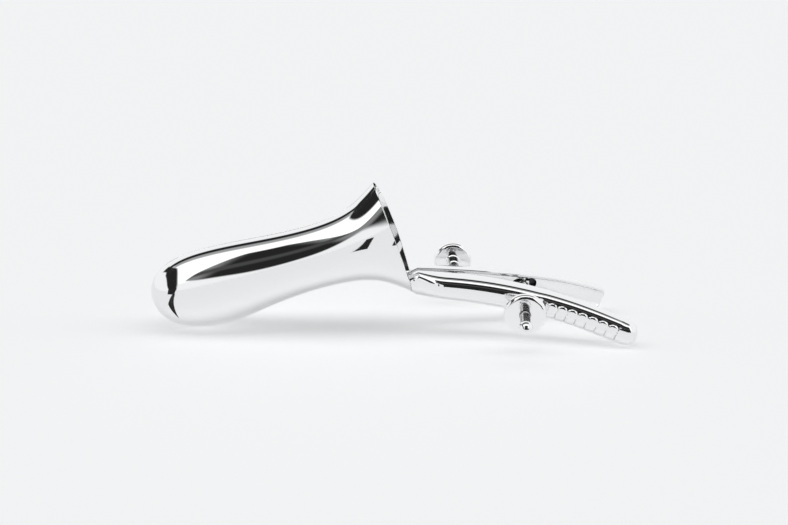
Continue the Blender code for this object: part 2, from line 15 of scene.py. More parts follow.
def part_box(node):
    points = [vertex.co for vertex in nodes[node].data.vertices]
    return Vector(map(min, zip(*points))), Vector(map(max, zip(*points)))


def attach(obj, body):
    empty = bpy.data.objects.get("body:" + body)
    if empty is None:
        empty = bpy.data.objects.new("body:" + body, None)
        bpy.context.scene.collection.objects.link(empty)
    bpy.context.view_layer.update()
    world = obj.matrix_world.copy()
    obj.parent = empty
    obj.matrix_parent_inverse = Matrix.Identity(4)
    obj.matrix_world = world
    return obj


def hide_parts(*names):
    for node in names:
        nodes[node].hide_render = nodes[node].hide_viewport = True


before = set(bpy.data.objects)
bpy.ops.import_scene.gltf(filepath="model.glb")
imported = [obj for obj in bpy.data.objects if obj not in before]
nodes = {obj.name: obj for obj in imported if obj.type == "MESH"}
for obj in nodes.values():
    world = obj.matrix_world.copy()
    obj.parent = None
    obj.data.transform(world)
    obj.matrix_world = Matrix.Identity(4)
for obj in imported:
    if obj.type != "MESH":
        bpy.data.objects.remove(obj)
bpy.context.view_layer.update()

LEFT = -1
RIGHT = 1

# Gaps
SPLIT_GAP = 0.0003  # between the mating edges of the two halves
PIN_GAP = 0.00015
THREAD_GAP = 0.00015
STEM_GAP = 0.0003  # round a screw where it passes a handle
EYE_GAP = 0.0005

# Blade and mouth, measured along and across the blade's own axis from the nose
BLADE_SLOPE = math.radians(14.5)
NOSE_X = -0.1098
NOSE_Z = -0.0172
WALL = 0.0016
BULGE_AT = 0.0285
BULGE_UP = 0.0168
BULGE_DOWN = 0.0198
NECK_AT = 0.0755
NECK_UP = 0.0153
NECK_DOWN = 0.0143
MOUTH_TOP_AT = 0.1117
MOUTH_BOTTOM_AT = 0.1158
MOUTH_UP = 0.0276
MOUTH_DOWN = 0.0268
NOSE_POINTS = ((0.10, 0.47), (0.36, 0.80))  # shares of the bulge's place and height that round the nose
TOP_FLARE = (0.62, 0.32)  # shares of the way from neck to mouth, along and across
BOTTOM_WAIST = (0.45, 1.19)  # share of the way from bulge to neck, and height there in neck heights
BOTTOM_NECK_SHIFT = 0.2  # the lowest neck point lies this share of the way on to the mouth
BOTTOM_FLARE = (0.68, 0.28)
NOSE_ROUNDNESS = 0.78  # half width across the split, as a share of the half height, at the nose
NOSE_BLEND = 6  # how sharply the nose's roundness gives way to the blade's own depth
NOSE_LEAST = 1.5  # least half width at its very tip, in halves of the split's gap
BLADE_DEPTH = 0.0130
MOUTH_DEPTH = 0.0124
MOUTH_SIDE = 0.0017  # the rim's sides stand this far beyond a flat cut
MOUTH_SIDE_RISE = 4  # power with which they grow towards the rim
EDGE_ROUND = 0.0002  # on the edges at the split
EDGE_SHARE = 0.4  # the rounding's limit, as a share of the first step of a row
EDGE_PULL = 0.3  # where the rounding's middle point lies, 0 at the sharp corner
RIM_END = 0.02  # the rim's rounding closes at this share of the wall

# Handle: a section with a flat top, a round outer side and a channel in its inner face
HANDLE_START_HEIGHT = 0.0114
HANDLE_HEIGHT = 0.0123
HANDLE_END_HEIGHT = 0.0114
HANDLE_HEIGHT_KNOTS = (0, 0.25, 0.6, 1)
HANDLE_KNOTS = (0, 0.25, 0.5, 0.75, 1)
HANDLE_FALL = (0, 0.085, 0.26, 0.55, 1)  # share of the drop at each knot
HANDLE_SPREAD = (0, 0.07, 0.27, 0.62, 1)  # share of the widening at each knot
HANDLE_START_X = 0.0104
HANDLE_END_X = 0.1068
HANDLE_SHORTER = {LEFT: 0.0, RIGHT: 0.0064}
HANDLE_START_TOP_Z = -0.0030
HANDLE_DROP = 0.0172
HANDLE_START_THICKNESS = 0.0042
HANDLE_THICKNESS = 0.0086
HANDLE_END_THICKNESS = 0.0068
HANDLE_SWELL = 0.0130
HANDLE_START_GAP = 0.0015
HANDLE_END_GAP = 0.0168
TOP_SQUARENESS = 3.4  # 2 is an ellipse, more is squarer
BOTTOM_SQUARENESS = 2.4
THINNEST = 0.0006  # of the section, out to its top and bottom edges
INNER_EDGE = ((0.00045, 0.995), (0.00012, 0.975))  # outward, and share of the half height
CHANNEL_DEPTH = 0.0020
CHANNEL_RIM = 0.0013
CHANNEL_SHOULDER = 0.93
CHANNEL_FADE = 3  # power with which the channel runs out in the rounded end
ROOT_SHARE = 0.84  # where the root leaves the blade's lower wall, as a share of its outline
ROOT_THICKNESS = 0.7
ROOT_CHANNEL = 0.5
ROOT_RISE = 1.5
END_BLUNTNESS = {LEFT: 0.86, RIGHT: 0.72}  # 1 is a half circle, less is squarer
END_TURN = math.radians(84)
END_INSET = 0.35

# Finger ridges: flush grooves between them, and a step above their scalloped tops
RIDGES = {LEFT: 7, RIGHT: 6}
RIDGE_PITCH = 0.00425
RIDGE_END_GAP = 0.0029
RIDGE_DEPTH = 0.0011
RIDGE_CREST = 5  # power of the curve across a ridge, more is flatter with narrower grooves
RIDGE_TOP = math.radians(12)  # how far up the outer side a ridge's middle reaches
RIDGE_SCALLOP = math.radians(20)  # how much lower its sides end
RIDGE_STEP = math.radians(7)
RIDGE_RISE = 0.00045  # the surface above the ridges stands this far back
RISE_FADE = 0.005  # length over which it starts
RIDGE_BOTTOM = math.radians(-80)
RIDGE_FADE = math.radians(14)

# Screws, pins, nuts and stops
STEM_RADIUS = 0.0022
SCREW_LENGTH = 0.0508
SHOULDER_RISE = 0.0002  # of the stem's cone at its stop
THREAD_PITCH = 0.0005
THREAD_DEPTH = 0.00007
THREAD_START = 0.0220  # from the pin's axis
THREAD_END_GAP = 0.0006  # from the stem's shoulder
EYE_RADIUS = 0.0029
EYE_WIDTH = 0.0040
EYE_EDGE = 0.0002
PIN_RADIUS = 0.0012
POCKET_HALF_LENGTH = 0.0060
POCKET_HALF_HEIGHT = 0.0031
SLOT_ROUNDING = 0.98
PIN_INSET = 0.0034
SPREAD_SCREW_X = 0.0284
SPREAD_SCREW_RISE = 0.0004
HANDLE_SCREW_X = 0.0602
HANDLE_SCREW_RISE = 0.0007
HANDLE_SCREW_TILT = math.radians(7.0)
SLOT_TO_BLADES = 0.0036
SLOT_TO_GRIP = 0.0086
SLOT_REACH = 0.03  # how far the slot's cutter runs out from the split plane
NUT_RADIUS = 0.0091
NUT_THICKNESS = 0.0040
NUT_ROUND = 0.0017
NUT_EDGE = 0.0003  # at the bore's end and the foot of the hub
HUB_RADIUS = 0.0033
HUB_LENGTH = 0.0075
HUB_EDGE = 0.0004
SPREAD_NUT_AT = 0.0330
HANDLE_NUT_AT = 0.0345
STOP_RADIUS = 0.0030
STOP_SEAT = 0.0021

# Fineness
ARC_STEPS = 96
NOSE_SHARE = 0.16  # of the outline, with its own closer stations
NOSE_STATIONS = 60
NOSE_CROWDING = 1.7
NOSE_TIP = 0.2  # the first station, as a share of the second
BODY_STATIONS = 150
RIM_STEPS = 6
SECTION_STEPS = 72
CHANNEL_STEPS = 20
ROOT_STATIONS = 12
HANDLE_STATIONS = 120
RIDGE_STATIONS = 16
TIP_STATIONS = 12
TIP_START = 0.0003  # beyond the last groove
END_STATIONS = 24
HEADING_STEP = 1e-4
SLOT_SEGMENTS = 12
HOLE_SEGMENTS = 48
LATHE_STEPS = 96
ROUND_STEPS = 12
BALL_STEPS = 40
SAME = 1e-7  # coordinates closer than this are one
MERGE = 1e-6
TINY = 1e-12  # keeps a zero length from being divided by
SKIN_SHARP = math.radians(70)  # edges that turn more than this are shaded sharp
GRIP_SHARP = math.radians(35)
THREAD_SHARP = math.radians(50)


def between(start, end, share):
    return start + share * (end - start)


def smooth_step(value):
    value = min(1.0, max(0.0, value))
    return value * value * (3 - 2 * value)


def spline(knots, values):
    """The natural cubic spline through values at knots, as a function of one number."""
    x = np.asarray(knots, float)
    y = np.asarray(values, float)
    step = np.diff(x)
    count = len(x)
    matrix = np.eye(count)
    right = np.zeros(y.shape)
    for i in range(1, count - 1):
        matrix[i, i - 1 : i + 2] = step[i - 1], 2 * (step[i - 1] + step[i]), step[i]
        right[i] = 6 * ((y[i + 1] - y[i]) / step[i] - (y[i] - y[i - 1]) / step[i - 1])
    bend = np.linalg.solve(matrix, right)

    def value(at):
        i = int(np.clip(np.searchsorted(x, at) - 1, 0, count - 2))
        a = (x[i + 1] - at) / step[i]
        b = (at - x[i]) / step[i]
        curve = ((a**3 - a) * bend[i] + (b**3 - b) * bend[i + 1]) * step[i] ** 2 / 6
        return a * y[i] + b * y[i + 1] + curve

    return value


# Blade and mouth


def blade_point(along, up):
    """Design-frame (x, z) of a point given along and across the blade's axis."""
    cos, sin = math.cos(BLADE_SLOPE), math.sin(BLADE_SLOPE)
    return NOSE_X + along * cos - up * sin, NOSE_Z + along * sin + up * cos


def nose_points(height):
    return [(along * BULGE_AT, up * height) for along, up in NOSE_POINTS]


def blade_outlines():
    """The top and bottom outlines as functions of 0 (nose) to 1 (mouth rim), along and across the axis."""
    top = nose_points(BULGE_UP)
    top.append((BULGE_AT, BULGE_UP))
    top.append(((BULGE_AT + NECK_AT) / 2, (BULGE_UP + NECK_UP) / 2))
    top.append((NECK_AT, NECK_UP))
    top.append((between(NECK_AT, MOUTH_TOP_AT, TOP_FLARE[0]), between(NECK_UP, MOUTH_UP, TOP_FLARE[1])))
    top.append((MOUTH_TOP_AT, MOUTH_UP))
    bottom = nose_points(-BULGE_DOWN)
    bottom.append((BULGE_AT, -BULGE_DOWN))
    bottom.append((between(BULGE_AT, NECK_AT, BOTTOM_WAIST[0]), -BOTTOM_WAIST[1] * NECK_DOWN))
    bottom.append((between(NECK_AT, MOUTH_BOTTOM_AT, BOTTOM_NECK_SHIFT), -NECK_DOWN))
    flare_at = between(NECK_AT, MOUTH_BOTTOM_AT, BOTTOM_FLARE[0])
    bottom.append((flare_at, -between(NECK_DOWN, MOUTH_DOWN, BOTTOM_FLARE[1])))
    bottom.append((MOUTH_BOTTOM_AT, -MOUTH_DOWN))
    whole = np.array(bottom[::-1] + [(0.0, 0.0)] + top)
    chord = np.concatenate([[0], np.cumsum(np.linalg.norm(np.diff(whole, axis=0), axis=1))])
    nose_at = chord[len(bottom)]
    curve = spline(chord, whole)
    return (
        lambda share: curve(nose_at + share * (chord[-1] - nose_at)),
        lambda share: curve(nose_at - share * nose_at),
    )


def half_depth(along, half_height):
    """Half width across the split: a share of the height over the nose, then the blade's own depth."""
    knots = (0.0, BULGE_AT, NECK_AT, MOUTH_TOP_AT)
    body = spline(knots, (BLADE_DEPTH, BLADE_DEPTH, BLADE_DEPTH, MOUTH_DEPTH))(along)
    nose = NOSE_ROUNDNESS * half_height
    return (nose**-NOSE_BLEND + body**-NOSE_BLEND) ** (-1 / NOSE_BLEND)


def blade_grid(side):
    """Rows of points on one half's outer surface, nose to mouth, each from top to bottom."""
    top, bottom = blade_outlines()
    nose = NOSE_SHARE * (np.arange(0, NOSE_STATIONS + 1) / NOSE_STATIONS) ** NOSE_CROWDING
    nose[0] = nose[1] * NOSE_TIP
    body = np.linspace(NOSE_SHARE, 1.0, BODY_STATIONS + 1)[1:]
    edge = SPLIT_GAP / 2
    rows = []
    for share in np.concatenate([nose, body]):
        upper, lower = top(share), bottom(share)
        middle = (upper + lower) / 2
        reach = (upper - lower) / 2
        depth = max(edge * NOSE_LEAST, half_depth(middle[0], np.linalg.norm(reach)))
        forward = MOUTH_SIDE * share**MOUTH_SIDE_RISE
        row = []
        for turn in np.linspace(0, math.pi, ARC_STEPS + 1):
            along, up = middle + reach * math.cos(turn)
            x, z = blade_point(along + forward * math.sin(turn) ** 2, up)
            row.append((x, side * (edge + (depth - edge) * math.sin(turn)), z))
        rows.append(row)
    return np.array(rows)


def unit(vectors):
    return vectors / np.maximum(np.linalg.norm(vectors, axis=-1, keepdims=True), TINY)


def wall_face(points, into_wall, radius):
    """One face of the wall, its two edges at the split rounded."""
    start = unit(points[1] - points[0]) * radius
    stop = unit(points[-2] - points[-1]) * radius
    first = into_wall[0] * radius
    last = into_wall[-1] * radius
    face = [points[0] + first, points[0] + EDGE_PULL * (first + start), points[0] + start]
    face += list(points[1:-1])
    face += [points[-1] + stop, points[-1] + EDGE_PULL * (last + stop), points[-1] + last]
    return face


def rim_rings(last, before):
    """Rings that round the mouth's rim, from the wall's last ring and the one before it."""
    middle = (last + last[::-1]) / 2
    reach = (last - last[::-1]) / 2
    lead = unit(last - before)
    lead = unit(lead + lead[::-1])
    rings = []
    for turn in np.linspace(0, math.pi / 2, RIM_STEPS + 1)[1:]:
        rings.append(middle + reach * max(RIM_END, math.cos(turn)) + lead * WALL / 2 * math.sin(turn))
    return rings


def shell_rings(side):
    """Closed rings round one half's wall: outer face top to bottom, then inner face bottom to top."""
    outer = blade_grid(side)
    forward = unit(np.gradient(outer, axis=0))
    around = unit(np.gradient(outer, axis=1))
    normal = unit(np.cross(forward, around)) * side
    normal[0] = (-math.cos(BLADE_SLOPE), 0, -math.sin(BLADE_SLOPE))
    for edge in (0, -1):
        normal[:, edge, 1] = 0
    normal = unit(normal)
    outer[-1] -= forward[-1] * WALL / 2
    inner = outer - normal * WALL
    inner[..., 1] = side * np.maximum(side * inner[..., 1], SPLIT_GAP / 2)
    rings = []
    for out, back, facing in zip(outer, inner, normal):
        radius = min(EDGE_ROUND, EDGE_SHARE * np.linalg.norm(out[1] - out[0]))
        ring = wall_face(out, -facing, radius) + wall_face(back[::-1], facing[::-1], radius)
        rings.append(np.array(ring))
    return rings + rim_rings(rings[-1], rings[-2])


# Handle


def handle_share(x):
    """0 at the handle's start, 1 at the centre of the left handle's rounded end."""
    return (x - HANDLE_START_X) / (HANDLE_END_X - HANDLE_END_HEIGHT / 2 - HANDLE_START_X)


heights = spline(
    HANDLE_HEIGHT_KNOTS, (HANDLE_START_HEIGHT, HANDLE_HEIGHT, HANDLE_HEIGHT, HANDLE_END_HEIGHT)
)
fall = spline(HANDLE_KNOTS, HANDLE_FALL)
widening = spline(HANDLE_KNOTS, HANDLE_SPREAD)


def handle_height(x):
    return heights(min(1.0, handle_share(x)))


def handle_z(x):
    """Height of the handle's middle line."""
    return HANDLE_START_TOP_Z - HANDLE_DROP * fall(handle_share(x)) - handle_height(x) / 2


def handle_gap(x):
    """Distance from the split plane to the handle's inner face."""
    return between(HANDLE_START_GAP, HANDLE_END_GAP, widening(handle_share(x)))


def handle_thickness(x):
    swollen = HANDLE_START_X + HANDLE_SWELL
    if x > swollen:
        share = (x - swollen) / (HANDLE_END_X - swollen)
        return between(HANDLE_THICKNESS, HANDLE_END_THICKNESS, share**2)
    swell = math.sin(max(0.0, x - HANDLE_START_X) / HANDLE_SWELL * math.pi / 2)
    return between(HANDLE_START_THICKNESS, HANDLE_THICKNESS, swell)


def ridge_cut(turn, groove):
    """How far the outer side lies back at this turn, for (groove depth, place across, share of the step).

    The place across runs from -1 to 1 over one ridge, whose top is round.
    """
    depth, across, raised = groove
    top = RIDGE_TOP - RIDGE_SCALLOP * (1 - math.sqrt(max(0.0, 1 - across**2)))
    above = smooth_step((turn - top) / RIDGE_STEP)
    below = smooth_step((RIDGE_BOTTOM + RIDGE_FADE - turn) / RIDGE_FADE)
    return max(depth * (1 - above), RIDGE_RISE * raised * above) * (1 - below)


def handle_section(height, thickness, channel, groove=None):
    """An outline as (outward, up) points: down the channelled inner face, then up the outer side."""
    half = height / 2
    width = half * (1 - 2 * CHANNEL_RIM / HANDLE_HEIGHT)
    shoulder = CHANNEL_SHOULDER * half
    points = [(outward, half * share) for outward, share in INNER_EDGE] + [(0.0, shoulder)]
    for turn in np.linspace(0, math.pi, CHANNEL_STEPS + 1):
        points.append((channel * math.sin(turn), width * math.cos(turn)))
    points += [(0.0, -shoulder)] + [(outward, -half * share) for outward, share in INNER_EDGE[::-1]]
    for turn in np.linspace(-math.pi / 2, math.pi / 2, SECTION_STEPS + 2)[1:-1]:
        power = 2 / (TOP_SQUARENESS if turn > 0 else BOTTOM_SQUARENESS)
        outward = max(THINNEST, thickness * math.cos(turn) ** power)
        up = half * math.copysign(abs(math.sin(turn)) ** power, turn)
        if groove is not None:
            outward -= ridge_cut(turn, groove)
        points.append((outward, up))
    return points


def placed(section, origin, heading, side):
    """The ring of a section whose plane faces heading; outward is away from the split plane."""
    forward = Vector(heading).normalized()
    up = Vector((-forward.z, 0, forward.x)).normalized()
    outward = forward.cross(up) * -side
    return [Vector(origin) + outward * a + up * b for a, b in section]


def end_centre(side):
    return HANDLE_END_X - HANDLE_SHORTER[side] - HANDLE_END_HEIGHT / 2


def ridge_start(side):
    return end_centre(side) - RIDGE_END_GAP - RIDGES[side] * RIDGE_PITCH


def ridge_stations(side):
    """(x, groove) along the ridges."""
    start = ridge_start(side)
    stations = []
    for ridge in range(RIDGES[side]):
        for share in np.arange(RIDGE_STATIONS) / RIDGE_STATIONS:
            across = 2 * share - 1
            depth = RIDGE_DEPTH * (1 - math.sqrt(max(0.0, 1 - abs(across) ** RIDGE_CREST)))
            stations.append((start + RIDGE_PITCH * (ridge + share), (depth, across, 1.0)))
    stations.append((start + RIDGE_PITCH * RIDGES[side], (RIDGE_DEPTH, 1.0, 1.0)))
    return stations


def handle_stations(side):
    """(x, groove) along the handle, from its start to the centre of its rounded end."""
    centre_x = end_centre(side)
    plain = []
    for x in np.linspace(HANDLE_START_X, ridge_start(side), HANDLE_STATIONS + 1)[:-1]:
        raised = smooth_step(1 - (ridge_start(side) - x) / RISE_FADE)
        plain.append((x, (0.0, 0.0, raised)))
    ridged = ridge_stations(side)
    last_groove = ridged[-1][0]
    tip = []
    for x in np.linspace(last_groove + TIP_START, centre_x, TIP_STATIONS):
        tip.append((x, (0.0, 0.0, smooth_step((centre_x - x) / (centre_x - last_groove)))))
    return plain + ridged + tip


def root_rings():
    """(section, origin, heading) from the blade's lower wall to the handle's start."""
    bottom = blade_outlines()[1]
    start_x = blade_point(*bottom(ROOT_SHARE))[0]
    rings = []
    for share in np.linspace(ROOT_SHARE, 1.0, ROOT_STATIONS + 1)[:-1]:
        x, low = blade_point(*bottom(share))
        low += WALL / 2
        rise = (x - start_x) / (HANDLE_START_X - start_x)
        high = low + WALL + (HANDLE_START_TOP_Z - low - WALL) * rise**ROOT_RISE
        thickness = HANDLE_START_THICKNESS * between(ROOT_THICKNESS, 1, rise)
        section = handle_section(high - low, thickness, CHANNEL_DEPTH * ROOT_CHANNEL * rise)
        rings.append((section, Vector((x, HANDLE_START_GAP, (high + low) / 2)), Vector((1, 0, 0))))
    return rings


def end_rings(side, point, heading):
    """(section, origin, heading) round the handle's end, beyond its last station."""
    height, thickness = handle_height(end_centre(side)), handle_thickness(end_centre(side))
    rings = []
    for turn in np.linspace(0, END_TURN, END_STATIONS + 1)[1:]:
        shrink = math.cos(turn) ** END_BLUNTNESS[side]
        channel = CHANNEL_DEPTH * shrink**CHANNEL_FADE
        section = handle_section(height * shrink, thickness * shrink, channel)
        section = [(a + END_INSET * thickness * (1 - shrink), b) for a, b in section]
        onward = HANDLE_END_HEIGHT / 2 * math.sin(turn) ** END_BLUNTNESS[side]
        rings.append((section, point + heading.normalized() * onward, heading))
    return rings


def handle_rings(side):
    rings = root_rings()
    for x, groove in handle_stations(side):
        point = Vector((x, handle_gap(x), handle_z(x)))
        ahead = x + HEADING_STEP
        heading = Vector((HEADING_STEP, handle_gap(ahead) - point.y, handle_z(ahead) - point.z))
        section = handle_section(handle_height(x), handle_thickness(x), CHANNEL_DEPTH, groove)
        rings.append((section, point, heading))
    turned = []
    for section, (x, y, z), heading in rings + end_rings(side, point, heading):
        mirrored_heading = (heading[0], side * heading[1], heading[2])
        turned.append(placed(section, (x, side * y, z), mirrored_heading, side))
    return turned


# Screw axes, and from them the design frame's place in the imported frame


def pin_point(x, rise, side):
    return Vector((x, side * (handle_gap(x) + PIN_INSET), handle_z(x) + rise))


def packed_centre(node):
    low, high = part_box(node)
    return (Vector(low) + Vector(high)) / 2


SPREAD_PIN = pin_point(SPREAD_SCREW_X, SPREAD_SCREW_RISE, LEFT)
HANDLE_PIN = pin_point(HANDLE_SCREW_X, HANDLE_SCREW_RISE, RIGHT)
SPREAD_DIRECTION = Vector((0, 1, 0))
HANDLE_DIRECTION = Vector((-math.sin(HANDLE_SCREW_TILT), -math.cos(HANDLE_SCREW_TILT), 0))
packed_pin = packed_centre("spread_screw_pin")
packed_pin.z = packed_centre("spread_screw").z
SHIFT = packed_pin - SPREAD_PIN


# Mesh helpers


def new_object(name, mesh, material=None):
    obj = bpy.data.objects.new(name, mesh)
    bpy.context.scene.collection.objects.link(obj)
    if material:
        mesh.materials.append(material)
    return obj


def mesh_from(bm, name):
    mesh = bpy.data.meshes.new(name)
    bm.to_mesh(mesh)
    bm.free()
    return mesh


def ring_mesh(name, rings, flip):
    """A closed solid through rings of points, smooth."""
    bm = bmesh.new()
    verts = [[bm.verts.new(Vector(p) + SHIFT) for p in ring] for ring in rings]
    size = len(rings[0])
    for first, second in zip(verts, verts[1:]):
        for j in range(size):
            k = (j + 1) % size
            face = (first[j], second[j], second[k], first[k])
            bm.faces.new(face[::-1] if flip else face)
    bm.faces.new(verts[0][::-1] if flip else verts[0])
    bm.faces.new(verts[-1] if flip else verts[-1][::-1])
    mesh = mesh_from(bm, name)
    mesh.shade_smooth()
    return mesh


def cut(obj, cutters, inner=None):
    """Takes the cutters away from obj. The faces that they leave get the material inner."""
    for cutter in cutters:
        if inner:
            cutter.data.materials.append(inner)
        step = obj.modifiers.new("cut", "BOOLEAN")
        step.operation = "DIFFERENCE"
        step.object = cutter
        step.solver = "EXACT"
        step.material_mode = "TRANSFER" if inner else "INDEX"
    bpy.context.view_layer.update()
    graph = bpy.context.evaluated_depsgraph_get()
    mesh = bpy.data.meshes.new_from_object(obj.evaluated_get(graph))
    obj.modifiers.clear()
    obj.data = mesh
    for cutter in cutters:
        bpy.data.objects.remove(cutter, do_unlink=True)


def rod(name, radius, length, place):
    """A cylinder from place's origin along its Z."""
    bm = bmesh.new()
    bmesh.ops.create_cone(
        bm,
        cap_ends=True,
        segments=HOLE_SEGMENTS,
        radius1=radius,
        radius2=radius,
        depth=length,
        matrix=Matrix.Translation((0, 0, length / 2)),
    )
    bmesh.ops.transform(bm, matrix=Matrix.Translation(SHIFT) @ place, verts=bm.verts)
    return new_object(name, mesh_from(bm, name))


def runs_along_y(edge):
    first, second = (vert.co for vert in edge.verts)
    return abs(first.x - second.x) < SAME and abs(first.z - second.z) < SAME


def slot_block(name, low, high, half_height):
    """A box whose edges along Y are rounded, so that its ends are nearly half circles."""
    bm = bmesh.new()
    size = Vector(high) - Vector(low)
    centre = (Vector(high) + Vector(low)) / 2 + SHIFT
    bmesh.ops.create_cube(bm, size=1, matrix=Matrix.Translation(centre) @ Matrix.Diagonal((*size, 1)))
    bmesh.ops.bevel(
        bm,
        geom=[edge for edge in bm.edges if runs_along_y(edge)],
        offset=half_height * SLOT_ROUNDING,
        segments=SLOT_SEGMENTS,
        profile=0.5,
        affect="EDGES",
    )
    return new_object(name, mesh_from(bm, name))


def along_matrix(origin, direction):
    """Z along direction, at origin."""
    along = Vector(direction).normalized()
    up = Vector((0, 0, 1))
    return Matrix.Translation(origin) @ Matrix((up, along.cross(up), along)).transposed().to_4x4()


def lathe(name, profile, place, material, body, sharp=GRIP_SHARP):
    """A solid turned about place's Z from (radius, height) points."""
    bm = bmesh.new()
    verts = [bm.verts.new((radius, 0, height)) for radius, height in profile]
    for first, second in zip(verts, verts[1:] + verts[:1]):
        if first.co.x > SAME or second.co.x > SAME:
            bm.edges.new((first, second))
    bmesh.ops.spin(
        bm,
        geom=bm.verts[:] + bm.edges[:],
        cent=(0, 0, 0),
        axis=(0, 0, 1),
        angle=math.tau,
        steps=LATHE_STEPS,
        use_merge=True,
    )
    bmesh.ops.remove_doubles(bm, verts=bm.verts, dist=MERGE)
    bmesh.ops.recalc_face_normals(bm, faces=bm.faces)
    bmesh.ops.transform(bm, matrix=Matrix.Translation(SHIFT) @ place, verts=bm.verts)
    mesh = mesh_from(bm, name)
    mesh.shade_smooth()
    mesh.set_sharp_from_angle(angle=sharp)
    piece = new_object(name, mesh, material)
    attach(piece, body)
    return piece


def arc(centre_radius, centre_height, radius, start, stop, steps):
    """(radius, height) points round a centre; start and stop in degrees from straight up."""
    return [
        (centre_radius + radius * math.sin(turn), centre_height + radius * math.cos(turn))
        for turn in np.linspace(math.radians(start), math.radians(stop), steps + 1)
    ]


# Materials

CHROME = (0.875, 0.88, 0.885)
# dark steel for the faces cut into the handles: partly their bare, unpolished finish, partly painted shade
# for the shade inside the pocket, slot and hole
BARE_AND_SHADE = (0.10, 0.10, 0.105)
SATIN = (0.90, 0.90, 0.905)
DRAWN = (0.86, 0.86, 0.86)
UNEVEN = 0.2  # the roughness varies by this share
UNEVEN_SCALE = 60.0
UNEVEN_DETAIL = 3.0
WAVE_SCALE = 45.0
WAVE_DETAIL = 1.0


def noise(tree, place, scale, detail):
    node = tree.nodes.new("ShaderNodeTexNoise")
    node.inputs["Scale"].default_value = scale
    node.inputs["Detail"].default_value = detail
    tree.links.new(place.outputs["Object"], node.inputs["Vector"])
    return node.outputs["Fac"]


def metal(name, tint, roughness, waviness):
    """Plated steel: a faint unevenness in roughness and surface, as a polished forging has."""
    material = bpy.data.materials.new(name)
    material.use_nodes = True
    tree = material.node_tree
    shader = tree.nodes["Principled BSDF"]
    shader.inputs["Base Color"].default_value = (*tint, 1)
    shader.inputs["Metallic"].default_value = 1.0
    place = tree.nodes.new("ShaderNodeTexCoord")
    spread = tree.nodes.new("ShaderNodeMapRange")
    spread.inputs["To Min"].default_value = roughness * (1 - UNEVEN)
    spread.inputs["To Max"].default_value = roughness * (1 + UNEVEN)
    tree.links.new(noise(tree, place, UNEVEN_SCALE, UNEVEN_DETAIL), spread.inputs["Value"])
    tree.links.new(spread.outputs["Result"], shader.inputs["Roughness"])
    bump = tree.nodes.new("ShaderNodeBump")
    bump.inputs["Strength"].default_value = 1.0
    bump.inputs["Distance"].default_value = waviness
    tree.links.new(noise(tree, place, WAVE_SCALE, WAVE_DETAIL), bump.inputs["Height"])
    tree.links.new(bump.outputs["Normal"], shader.inputs["Normal"])
    return material


bright = metal("bright_plate", CHROME, roughness=0.035, waviness=0.00002)
# the dark steel of the cut faces, bare finish with painted shade
bare_and_shaded = metal("bare_steel_and_painted_shade", BARE_AND_SHADE, roughness=0.45, waviness=0.00001)
satin = metal("turned_satin", SATIN, roughness=0.10, waviness=0.00001)
drawn = metal("drawn_steel", DRAWN, roughness=0.24, waviness=0.00003)

# Halves


def pocket(pin, side):
    """The cutter of a screw eye's pocket, open to the split plane."""
    deep = side * (abs(pin.y) + EYE_RADIUS + EYE_GAP)
    low = (pin.x - POCKET_HALF_LENGTH, min(0, deep), pin.z - POCKET_HALF_HEIGHT)
    high = (pin.x + POCKET_HALF_LENGTH, max(0, deep), pin.z + POCKET_HALF_HEIGHT)
    return slot_block("pocket", low, high, POCKET_HALF_HEIGHT)


def handle_screw_slot():
    """The cutter of the left handle's slot, from where the handle screw crosses the handle."""
    middle_y = handle_gap(HANDLE_SCREW_X) + handle_thickness(HANDLE_SCREW_X) / 2
    crossing = HANDLE_PIN.x - math.tan(HANDLE_SCREW_TILT) * (HANDLE_PIN.y + middle_y)
    rise = STEM_RADIUS + STEM_GAP
    low = (crossing - SLOT_TO_BLADES, -SLOT_REACH, HANDLE_PIN.z - rise)
    high = (crossing + SLOT_TO_GRIP, 0, HANDLE_PIN.z + rise)
    return slot_block("slot", low, high, rise)


def spread_screw_hole():
    """The cutter of the round hole in which the spread screw passes the right handle."""
    return rod("hole", STEM_RADIUS + STEM_GAP, SCREW_LENGTH, along_matrix(SPREAD_PIN, SPREAD_DIRECTION))


def make_half(name, side, body, cutters):
    skin = new_object(name + "_skin", ring_mesh(name, shell_rings(side), side == RIGHT), bright)
    skin.data.set_sharp_from_angle(angle=SKIN_SHARP)
    grip_mesh = ring_mesh(name + "_grip", handle_rings(side), side == RIGHT)
    grip = new_object(name + "_grip", grip_mesh, bright)
    # the pocket, slot and hole get the dark steel: their bare finish and painted shade inside them
    cut(grip, cutters, bare_and_shaded)
    grip.data.set_sharp_from_angle(angle=GRIP_SHARP)
    for piece in (skin, grip):
        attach(piece, body)
        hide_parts(name)


make_half("left_half", LEFT, "left_side", [pocket(SPREAD_PIN, LEFT), handle_screw_slot()])
make_half("right_half", RIGHT, "right_side", [pocket(HANDLE_PIN, RIGHT), spread_screw_hole()])

# Nuts, screws and stops: the CAD's own profiles, turned finer. The pins keep their CAD meshes


def make_nut(name, place, body):
    bore = STEM_RADIUS + THREAD_GAP
    flat = NUT_RADIUS - NUT_ROUND
    profile = [(bore + NUT_EDGE, NUT_THICKNESS)]
    profile += arc(flat, NUT_THICKNESS - NUT_ROUND, NUT_ROUND, 0, 90, ROUND_STEPS)
    profile += arc(flat, NUT_ROUND, NUT_ROUND, 90, 180, ROUND_STEPS)
    profile += [(HUB_RADIUS + NUT_EDGE, 0), (HUB_RADIUS, -NUT_EDGE)]
    profile += [(HUB_RADIUS, HUB_EDGE - HUB_LENGTH), (HUB_RADIUS - HUB_EDGE, -HUB_LENGTH)]
    profile += [(bore, -HUB_LENGTH), (bore, NUT_THICKNESS - NUT_EDGE)]
    piece = lathe(name + "_turned", profile, place, satin, body)
    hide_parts(name)


